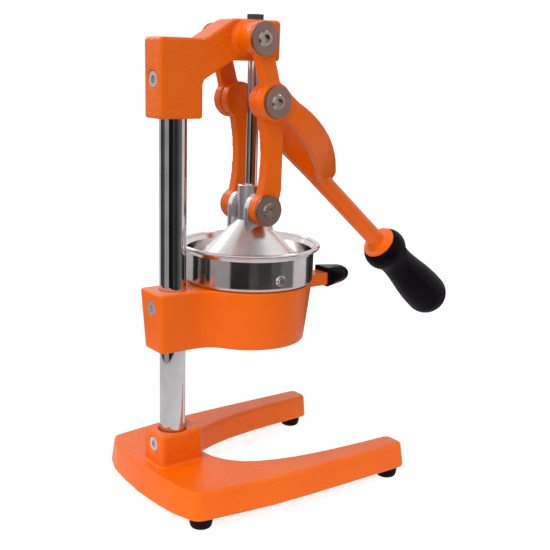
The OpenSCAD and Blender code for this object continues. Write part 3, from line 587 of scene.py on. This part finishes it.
def foot_bmesh():
    """The socket block of the foot casting, cut from its node, on a foot with curved sides."""
    bm = node_bmesh("base_casting")
    cut = bmesh.ops.bisect_plane(bm, geom=bm.verts[:] + bm.edges[:] + bm.faces[:],
                                 plane_co=(0, 0, FOOT_TOP + SOCKET_CUT), plane_no=(0, 0, 1),
                                 clear_inner=True)["geom_cut"]
    for vert in only(bmesh.types.BMVert, cut):
        vert.co.z -= SOCKET_SINK
    bmesh.ops.triangle_fill(bm, edges=only(bmesh.types.BMEdge, cut), use_beauty=True)
    add_foot(bm)
    return bm


# Fork. Its bands lie in the handle's own directions: X from the knee down the handle, Z square
# to it. Seen from above, each band follows an arc, and its ridge follows another from the side.
KNEE = (-0.0013, 0.0, 0.33694)
HANDLE_FALL = math.radians(40)
BAND_FACE = 0.0342
BAND_THICK = 0.0082
BAND_MEETING = -0.0002
SWEEP_RADIUS = 0.18
SWEEP_START = 0.01
RIDGE_START = 0.018
RIDGE_END = 0.114
RIDGE_STEPS = 20
RIDGE_PEAK = 0.0596
RIDGE_HEIGHT = 0.02
RIDGE_RADIUS = 0.175
RIDGE_BASE = 0.001


def arc_height(radius, x):
    """Height of a circle's arc above its centre."""
    return math.sqrt(radius ** 2 - x ** 2)


def fork_bmesh():
    """The forked lever, with bands that rise into a ridge towards the handle."""
    bm = node_bmesh("lever_fork")
    place = Matrix.Translation(KNEE) @ Matrix.Rotation(HANDLE_FALL, 4, "Y")
    sweep_centre = BAND_FACE - SWEEP_RADIUS
    for side in (-1, 1):
        rings = []
        for k in range(RIDGE_STEPS + 1):
            x = RIDGE_START + (RIDGE_END - RIDGE_START) * k / RIDGE_STEPS
            run = x - SWEEP_START
            outer = sweep_centre + arc_height(SWEEP_RADIUS, run)
            inner = max(sweep_centre + arc_height(SWEEP_RADIUS - BAND_THICK, run), BAND_MEETING)
            high = RIDGE_HEIGHT - RIDGE_RADIUS + arc_height(RIDGE_RADIUS, x - RIDGE_PEAK)
            rings.append([place @ Vector((x, side * y, z)) for y, z in (
                (inner, RIDGE_BASE), (outer, RIDGE_BASE), (outer, high), (inner, high))])
        add_shell(bm, rings)
    return bm


# Pressing cone. Its profile runs from the top of the collar down the outside and back up the
# cavity, each point as [radius, height].
CONE_PROFILE = ((0.0, 0.26774), (0.0106, 0.26774), (0.0112, 0.26714), (0.0112, 0.238245),
                (0.0500, 0.199445), (0.0500, 0.195045), (0.0494, 0.194445), (0.0455, 0.194445),
                (0.0455, 0.197581), (0.0100, 0.233081), (0.0, 0.233081))
CONE_STEPS = 128
POLE_MERGE = 1e-6
PRESS_PIVOT = 0.248445
CHEEK_RADIUS = 0.0135
CHEEK_NEAR = 0.0093
CHEEK_FAR = 0.0153
CHEEK_FOOT = 0.2274
CHEEK_EDGE = 0.0008
CHEEK_STEP = 6


def add_cheek(bm, side):
    """Adds the cheek that carries one link, with its rims rounded."""
    angles = [math.radians(degrees) for degrees in range(0, 181, CHEEK_STEP)]
    outline = [(CHEEK_RADIUS * math.cos(angle), PRESS_PIVOT + CHEEK_RADIUS * math.sin(angle))
               for angle in angles] + [(-CHEEK_RADIUS, CHEEK_FOOT), (CHEEK_RADIUS, CHEEK_FOOT)]
    inner = [bm.verts.new((x, side * CHEEK_NEAR, z)) for x, z in outline]
    cheek = bmesh.ops.extrude_face_region(bm, geom=[bm.faces.new(inner)], use_keep_orig=True)
    outer = only(bmesh.types.BMVert, cheek["geom"])
    bmesh.ops.translate(bm, verts=outer, vec=(0, side * (CHEEK_FAR - CHEEK_NEAR), 0))
    rims = [edge for edge in bm.edges if all(vert in inner for vert in edge.verts)
            or all(vert in outer for vert in edge.verts)]
    bmesh.ops.bevel(bm, geom=rims, offset=CHEEK_EDGE, segments=3, affect="EDGES",
                    profile=0.5, material=-1)


def press_bmesh():
    """The pressing cone, its collar and the two cheeks that carry the links."""
    bm = bmesh.new()
    verts = [bm.verts.new((radius, 0, height)) for radius, height in CONE_PROFILE]
    line = [bm.edges.new(pair) for pair in zip(verts, verts[1:])]
    bmesh.ops.spin(bm, geom=verts + line, cent=(0, 0, 0), axis=(0, 0, 1), angle=math.tau,
                   steps=CONE_STEPS, use_merge=True)
    bmesh.ops.remove_doubles(bm, verts=bm.verts[:], dist=POLE_MERGE)
    for side in (-1, 1):
        add_cheek(bm, side)
    bmesh.ops.recalc_face_normals(bm, faces=bm.faces[:])
    return bm


# Stage

FLOOR_HALF = 40.0
FLOOR_SHADE = 0.28
# Distances from the press between which the floor's own light dies away
FLOOR_FADE = (0.15, 0.9)
# Cards on the floor that only gloss shows: start and end of each in degrees about the press,
# and glow
CARDS = ((85, 120, 0.5), (120, 135, 0.01), (135, 165, 0.07), (165, 203, 0.36),
         (203, 236, 0.01), (236, 250, 0.06), (250, 274, 0.03), (274, 292, 0.08),
         (292, 318, 0.16), (318, 354, 0.75), (354, 445, 0.05))
CARD_NEAR = 0.45
CARD_FAR = 8.0
CARD_HEIGHT = 0.001
CARD_STEP = 4
# Heights of a ray's direction, with 1 straight up, over which the reflected walls turn dim
CEILING_FADE = (0.87, 0.97)
LAMP_TARGET = Vector((0.02, 0.0, 0.2))
SUN_FROM = Vector((-0.55, -0.15, 1.0))
SUN_ANGLE = math.radians(60)
# Name, place, size, setting and share of each lamp, and whether only gloss shows it
LAMPS = (("Key", (-1.2, -0.7, 0.9), 0.6, "key", 1.0, False),
         ("Fill", (0.4, -1.3, 0.12), 0.5, "key", 0.55, False),
         ("Edge Glint", (0.70, 0.10, 1.20), 0.2, "glint", 1.0, True),
         ("Rear Glint", (-0.14, 0.92, 0.86), 0.2, "glint", 1.0, True))
# The camera, fitted to points of the photograph
SENSOR_WIDTH = 36.0
CAMERA_SHIFT = (0.0425, 0.0890)
CAMERA_PLACE = (-0.45478, -0.63839, 0.36876)
CAMERA_TURN = ((0.8157, 0.1388, -0.5616), (-0.5779, 0.2394, -0.7802), (0.0261, 0.9610, 0.2755))


def stage_piece(name, bm, material):
    """A piece of the stage, which isn't part of the press."""
    piece = new_object(name, bm, material)
    return piece


def paper_material(studio):
    """White paper that lights the press from below and stays white in the picture."""
    paper, shader = new_material("Floor Paper", {
        "Base Color": opaque((FLOOR_SHADE,) * 3), "Roughness": 1.0, "Specular IOR Level": 0.0,
        "Emission Color": (1, 1, 1, 1)})
    nodes, links = paper.node_tree.nodes, paper.node_tree.links
    reach = nodes.new("ShaderNodeVectorMath")
    reach.operation = "LENGTH"
    links.new(nodes.new("ShaderNodeTexCoord").outputs["Object"], reach.inputs[0])
    fade = nodes.new("ShaderNodeMapRange")
    set_inputs(fade, {"From Min": FLOOR_FADE[0], "From Max": FLOOR_FADE[1],
                      "To Min": studio.floor, "To Max": 0.0})
    links.new(reach.outputs["Value"], fade.inputs["Value"])
    path = nodes.new("ShaderNodeLightPath")
    dim = nodes.new("ShaderNodeMapRange")
    set_inputs(dim, {"To Min": 1.0, "To Max": studio.floor_shine})
    links.new(path.outputs["Is Glossy Ray"], dim.inputs["Value"])
    lit = nodes.new("ShaderNodeMath")
    lit.operation = "MULTIPLY"
    links.new(fade.outputs["Result"], lit.inputs[0])
    links.new(dim.outputs["Result"], lit.inputs[1])
    glow = nodes.new("ShaderNodeMix")
    glow.inputs["B"].default_value = studio.paper
    links.new(lit.outputs[0], glow.inputs["A"])
    links.new(path.outputs["Is Camera Ray"], glow.inputs["Factor"])
    links.new(glow.outputs["Result"], shader.inputs["Emission Strength"])
    return paper


def add_floor(studio):
    """The pale floor."""
    bm = bmesh.new()
    bmesh.ops.create_grid(bm, x_segments=1, y_segments=1, size=FLOOR_HALF)
    stage_piece("floor", bm, paper_material(studio))


def add_cards():
    """Light and dark cards round the press, for the stripes in polished metal."""
    for k, (start, end, glow) in enumerate(CARDS):
        card, shader = new_material("Card %d" % k, {
            "Base Color": (0, 0, 0, 1), "Specular IOR Level": 0.0,
            "Emission Color": (1, 1, 1, 1), "Emission Strength": glow})
        along = Vector((math.cos(math.radians(start)), math.sin(math.radians(start)), 0))
        bm = bmesh.new()
        ends = [bm.verts.new(along * reach + Vector((0, 0, CARD_HEIGHT)))
                for reach in (CARD_NEAR, CARD_FAR)]
        bmesh.ops.spin(bm, geom=ends + [bm.edges.new(ends)], cent=(0, 0, 0), axis=(0, 0, 1),
                       angle=math.radians(end - start),
                       steps=max(2, int((end - start) / CARD_STEP)), use_merge=False)
        panel = stage_piece("card_%d" % k, bm, card)
        panel.visible_camera = False
        panel.visible_diffuse = False
        panel.visible_shadow = False
        panel.visible_transmission = False


def add_world(scene, studio):
    """Dim walls that gloss sees brighter, white behind the press."""
    world = bpy.data.worlds.new("Studio")
    scene.world = world
    world.use_nodes = True
    nodes, links = world.node_tree.nodes, world.node_tree.links
    path = nodes.new("ShaderNodeLightPath")
    height = nodes.new("ShaderNodeSeparateXYZ")
    links.new(nodes.new("ShaderNodeTexCoord").outputs["Generated"], height.inputs[0])
    fade = nodes.new("ShaderNodeMapRange")
    set_inputs(fade, {"From Min": CEILING_FADE[0], "From Max": CEILING_FADE[1],
                      "To Min": studio.glow, "To Max": studio.sky})
    links.new(height.outputs["Z"], fade.inputs["Value"])
    mirror = nodes.new("ShaderNodeMix")
    mirror.inputs["A"].default_value = studio.sky
    links.new(fade.outputs["Result"], mirror.inputs["B"])
    links.new(path.outputs["Is Glossy Ray"], mirror.inputs["Factor"])
    choose = nodes.new("ShaderNodeMix")
    choose.inputs["B"].default_value = 1.0
    links.new(mirror.outputs["Result"], choose.inputs["A"])
    links.new(path.outputs["Is Camera Ray"], choose.inputs["Factor"])
    background = nodes["Background"]
    background.inputs["Color"].default_value = (1, 1, 1, 1)
    links.new(choose.outputs["Result"], background.inputs["Strength"])


def place_lamp(scene, light, place, gloss):
    """Puts a light in the scene, aimed at the press and hidden from the camera."""
    lamp = bpy.data.objects.new(light.name, light)
    lamp.location = place
    lamp.rotation_mode = "QUATERNION"
    lamp.rotation_quaternion = (LAMP_TARGET - place).to_track_quat("-Z", "Y")
    lamp.visible_glossy = gloss
    lamp.visible_diffuse = not gloss
    lamp.visible_camera = False
    scene.collection.objects.link(lamp)


def add_lamps(scene, studio):
    """A wide soft light from above, two soft lamps and two small ones for the gloss."""
    overhead = bpy.data.lights.new("Overhead", "SUN")
    overhead.energy = studio.sun
    overhead.angle = SUN_ANGLE
    place_lamp(scene, overhead, LAMP_TARGET + SUN_FROM, gloss=False)
    for name, place, size, setting, share, gloss in LAMPS:
        light = bpy.data.lights.new(name, "AREA")
        light.energy = getattr(studio, setting) * share
        light.size = size
        place_lamp(scene, light, Vector(place), gloss)


def add_camera(scene, studio):
    """The camera, at the photograph's viewing angle."""
    lens = bpy.data.cameras.new("Camera")
    lens.lens = studio.lens
    lens.sensor_width = SENSOR_WIDTH
    lens.shift_x, lens.shift_y = CAMERA_SHIFT
    camera = bpy.data.objects.new("Camera", lens)
    camera.matrix_world = Matrix.Translation(CAMERA_PLACE) @ Matrix(CAMERA_TURN).to_4x4()
    scene.collection.objects.link(camera)
    scene.camera = camera


# Operators, one for each group of like pieces

# Node, body, coat, size of the even faces and passes of softening of each casting
CASTINGS = (("base_casting", "frame", "Hammered Enamel", 0.0011, 2),
            ("head_casting", "frame", "Hammered Enamel", 0.0008, 3),
            ("cup_holder", "frame", "Enamel", 0.001, 2),
            ("lever_fork", "lever", "Enamel", 0.0009, 4),
            ("left_link", "left_link", "Enamel", 0.0008, 3),
            ("right_link", "right_link", "Enamel", 0.0008, 3))
OWN_SHAPES = {"base_casting": foot_bmesh, "lever_fork": fork_bmesh}


class PRESS_OT_castings(Operator):
    """Enamel the castings and round their edges"""
    bl_idname = "press.castings"
    bl_label = "Enamelled Castings"

    def execute(self, context):
        enamel = context.scene.enamel
        coats = {
            "Enamel": enamel_material("Enamel", ripple=620.0, depth=enamel.peel, pit_shade=0.05),
            "Hammered Enamel": enamel_material("Hammered Enamel", ripple=560.0,
                                               depth=enamel.hammer, pit_shade=0.08)}
        for node, body, coat, voxel, passes in CASTINGS:
            bm = OWN_SHAPES[node]() if node in OWN_SHAPES else node_bmesh(node)
            piece = new_piece(node + "_cast", bm, body, coats[coat])
            soften(piece, voxel, passes)
            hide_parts(node)
        return {"FINISHED"}


class PRESS_OT_metals(Operator):
    """Finish the post, the rod, the cup, the strainer and the pressing cone"""
    bl_idname = "press.metals"
    bl_label = "Bare Metals"

    def execute(self, context):
        metal = context.scene.metal
        chrome = metal_material("Chrome", metal.chrome, roughness=0.04, spread=0.04)
        steel = metal_material("Brushed Steel", metal.steel, roughness=0.09, spread=0.08,
                               anisotropic=0.6)
        add_lines(steel, "Brushed Lines", {"Across": (60.0, 60.0, 5000.0)}, spread=0.1,
                  depth=0.00001)
        cone = metal_material("Turned Aluminium", metal.aluminium, roughness=0.2, spread=0.1)
        add_lines(cone, "Turned Rings", {"Rings": 2500.0}, spread=0.18, depth=0.00002)
        brass = metal_material("Brass", metal.brass, roughness=0.3, spread=0.1)
        dress(["support_post", "guide_rod"], chrome)
        dress(["juice_cup", "juice_funnel", "outlet_spout", "strainer_dome"], steel)
        turned = new_piece("press_cone_turned", press_bmesh(), "press", cone)
        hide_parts("press_cone")
        dress(["guide_bush"], brass)
        return {"FINISHED"}


class PRESS_OT_fasteners(Operator):
    """Finish the screws, washers and the stop nut"""
    bl_idname = "press.fasteners"
    bl_label = "Fasteners"

    def execute(self, context):
        metal = context.scene.metal
        nickel = metal_material("Nickel", metal.nickel, roughness=0.28, spread=0.2)
        zinc = metal_material("Zinc", metal.zinc, roughness=0.5, spread=0.12)
        washer = metal_material("Ground Washer", metal.washer, roughness=0.34, spread=0.14)
        add_lines(washer, "Brushed Lines", {"Across": (1500.0, 300.0, 1500.0)}, spread=0.18,
                  depth=0.00001)
        dark = metal_material("Dark Steel", metal.dark, roughness=0.26, spread=0.12)
        dress([name for name in NODES if name.endswith("_screw")], nickel)
        dress(["base_set_screw", "holder_set_screw", "head_set_screw", "foot_screws"], zinc)
        dress([name for name in NODES if name.endswith("_washer")], washer)
        dress(["stop_nut"], dark)
        return {"FINISHED"}


class PRESS_OT_grips(Operator):
    """Finish the hand grip, the bar's cap and the feet"""
    bl_idname = "press.grips"
    bl_label = "Grips and Feet"

    def execute(self, context):
        grip = context.scene.grip
        dress(["hand_grip"], soft_material("Soft Black", grip.black, roughness=0.42,
                                           grain=900.0, depth=0.00003))
        dress(["grip_cap"], soft_material("Glossy Black", grip.black, roughness=0.2,
                                          grain=300.0, depth=0.00002))
        dress(["rubber_feet"], soft_material("Foot Rubber", grip.rubber, roughness=0.6,
                                             grain=1400.0, depth=0.00004))
        return {"FINISHED"}


class PRESS_OT_stage(Operator):
    """Make the pale floor, the studio lights and the camera"""
    bl_idname = "press.stage"
    bl_label = "Stage"

    def execute(self, context):
        scene = context.scene
        studio = scene.studio
        add_floor(studio)
        add_cards()
        add_world(scene, studio)
        add_lamps(scene, studio)
        add_camera(scene, studio)
        scene.view_settings.view_transform = "Standard"
        return {"FINISHED"}


class PRESS_PT_panel(Panel):
    """Lists the steps that dress the juice press, and their settings"""
    bl_idname = "PRESS_PT_panel"
    bl_label = "Juice Press"
    bl_space_type = "VIEW_3D"
    bl_region_type = "UI"
    bl_category = "Juice Press"

    def draw(self, context):
        for operator in STEPS:
            self.layout.operator(operator.bl_idname)
        for setting in SETTINGS:
            group = getattr(context.scene, setting)
            box = self.layout.box()
            for name in group.__annotations__:
                box.prop(group, name)


STEPS = (PRESS_OT_castings, PRESS_OT_metals, PRESS_OT_fasteners, PRESS_OT_grips, PRESS_OT_stage)
SETTINGS = {"enamel": EnamelSettings, "metal": MetalSettings, "grip": GripSettings,
            "studio": StudioSettings}


def register():
    for cls in (*SETTINGS.values(), *STEPS, PRESS_PT_panel):
        bpy.utils.register_class(cls)
    for name, cls in SETTINGS.items():
        setattr(bpy.types.Scene, name, PointerProperty(type=cls))


def unregister():
    for name in SETTINGS:
        delattr(bpy.types.Scene, name)
    for cls in (PRESS_PT_panel, *reversed(STEPS), *reversed(SETTINGS.values())):
        bpy.utils.unregister_class(cls)


def main():
    register()
    bpy.ops.press.castings()
    bpy.ops.press.metals()
    bpy.ops.press.fasteners()
    bpy.ops.press.grips()
    bpy.ops.press.stage()


if __name__ == "__main__":
    main()
